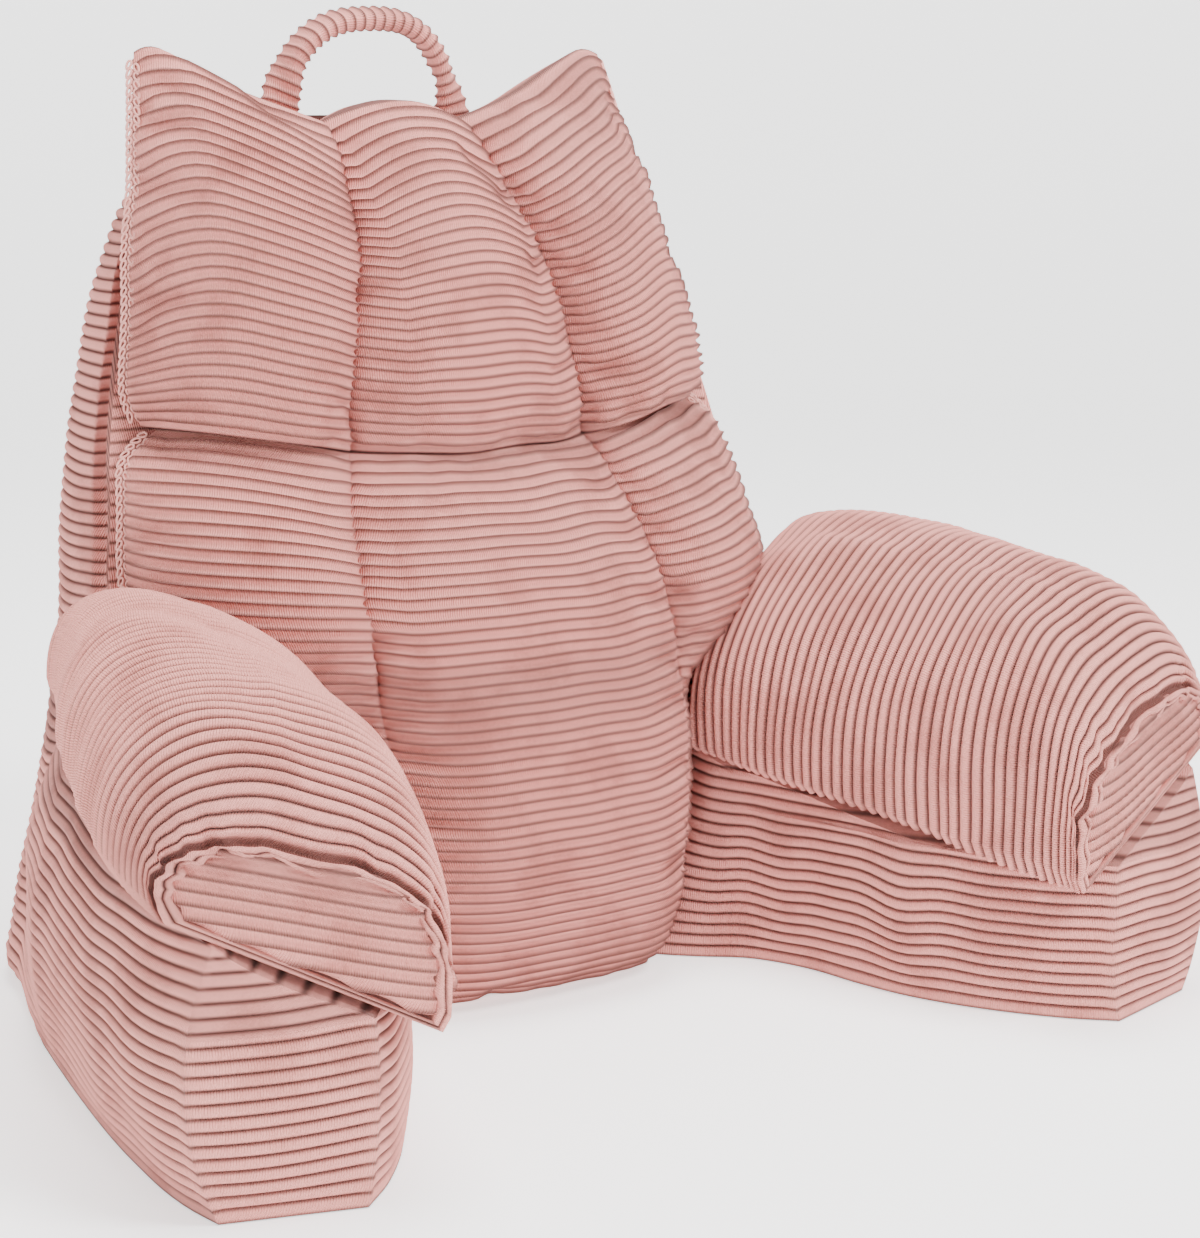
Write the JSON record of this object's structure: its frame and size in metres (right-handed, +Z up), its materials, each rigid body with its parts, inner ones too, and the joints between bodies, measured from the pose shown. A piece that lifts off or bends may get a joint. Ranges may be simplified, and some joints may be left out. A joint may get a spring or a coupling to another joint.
{
  "type": "reading pillow with arms",
  "caption": "Upright backrest pillow in wide-wale corduroy, with padded arms, a channelled head and lumbar cushion and a carrying loop.",
  "frame": {"origin": "on the floor, at the middle of the footprint's length and depth", "axes": "+Z up, -Y the front that the sitter faces away from, +X the sitter's left arm, which is the viewer's right"},
  "size_m": [0.721, 0.5356, 0.6158],
  "materials": {
    "corduroy_cover": "matt wide-wale corduroy, dusty pink",
    "corduroy_cushion": "matt wide-wale corduroy, dusty pink",
    "corduroy_pad": "matt wide-wale corduroy, dusty pink",
    "corduroy_strap": "matt wide-wale corduroy, dusty pink"
  },
  "bodies": {
    "root": {"backrest": "corduroy_cover", "arm_left": "corduroy_cover", "arm_right": "corduroy_cover", "head_cushion": "corduroy_cushion", "lumbar_cushion": "corduroy_cushion", "arm_pad_left": "corduroy_pad", "arm_pad_right": "corduroy_pad", "handle": "corduroy_strap"}
  },
  "joints": []
}
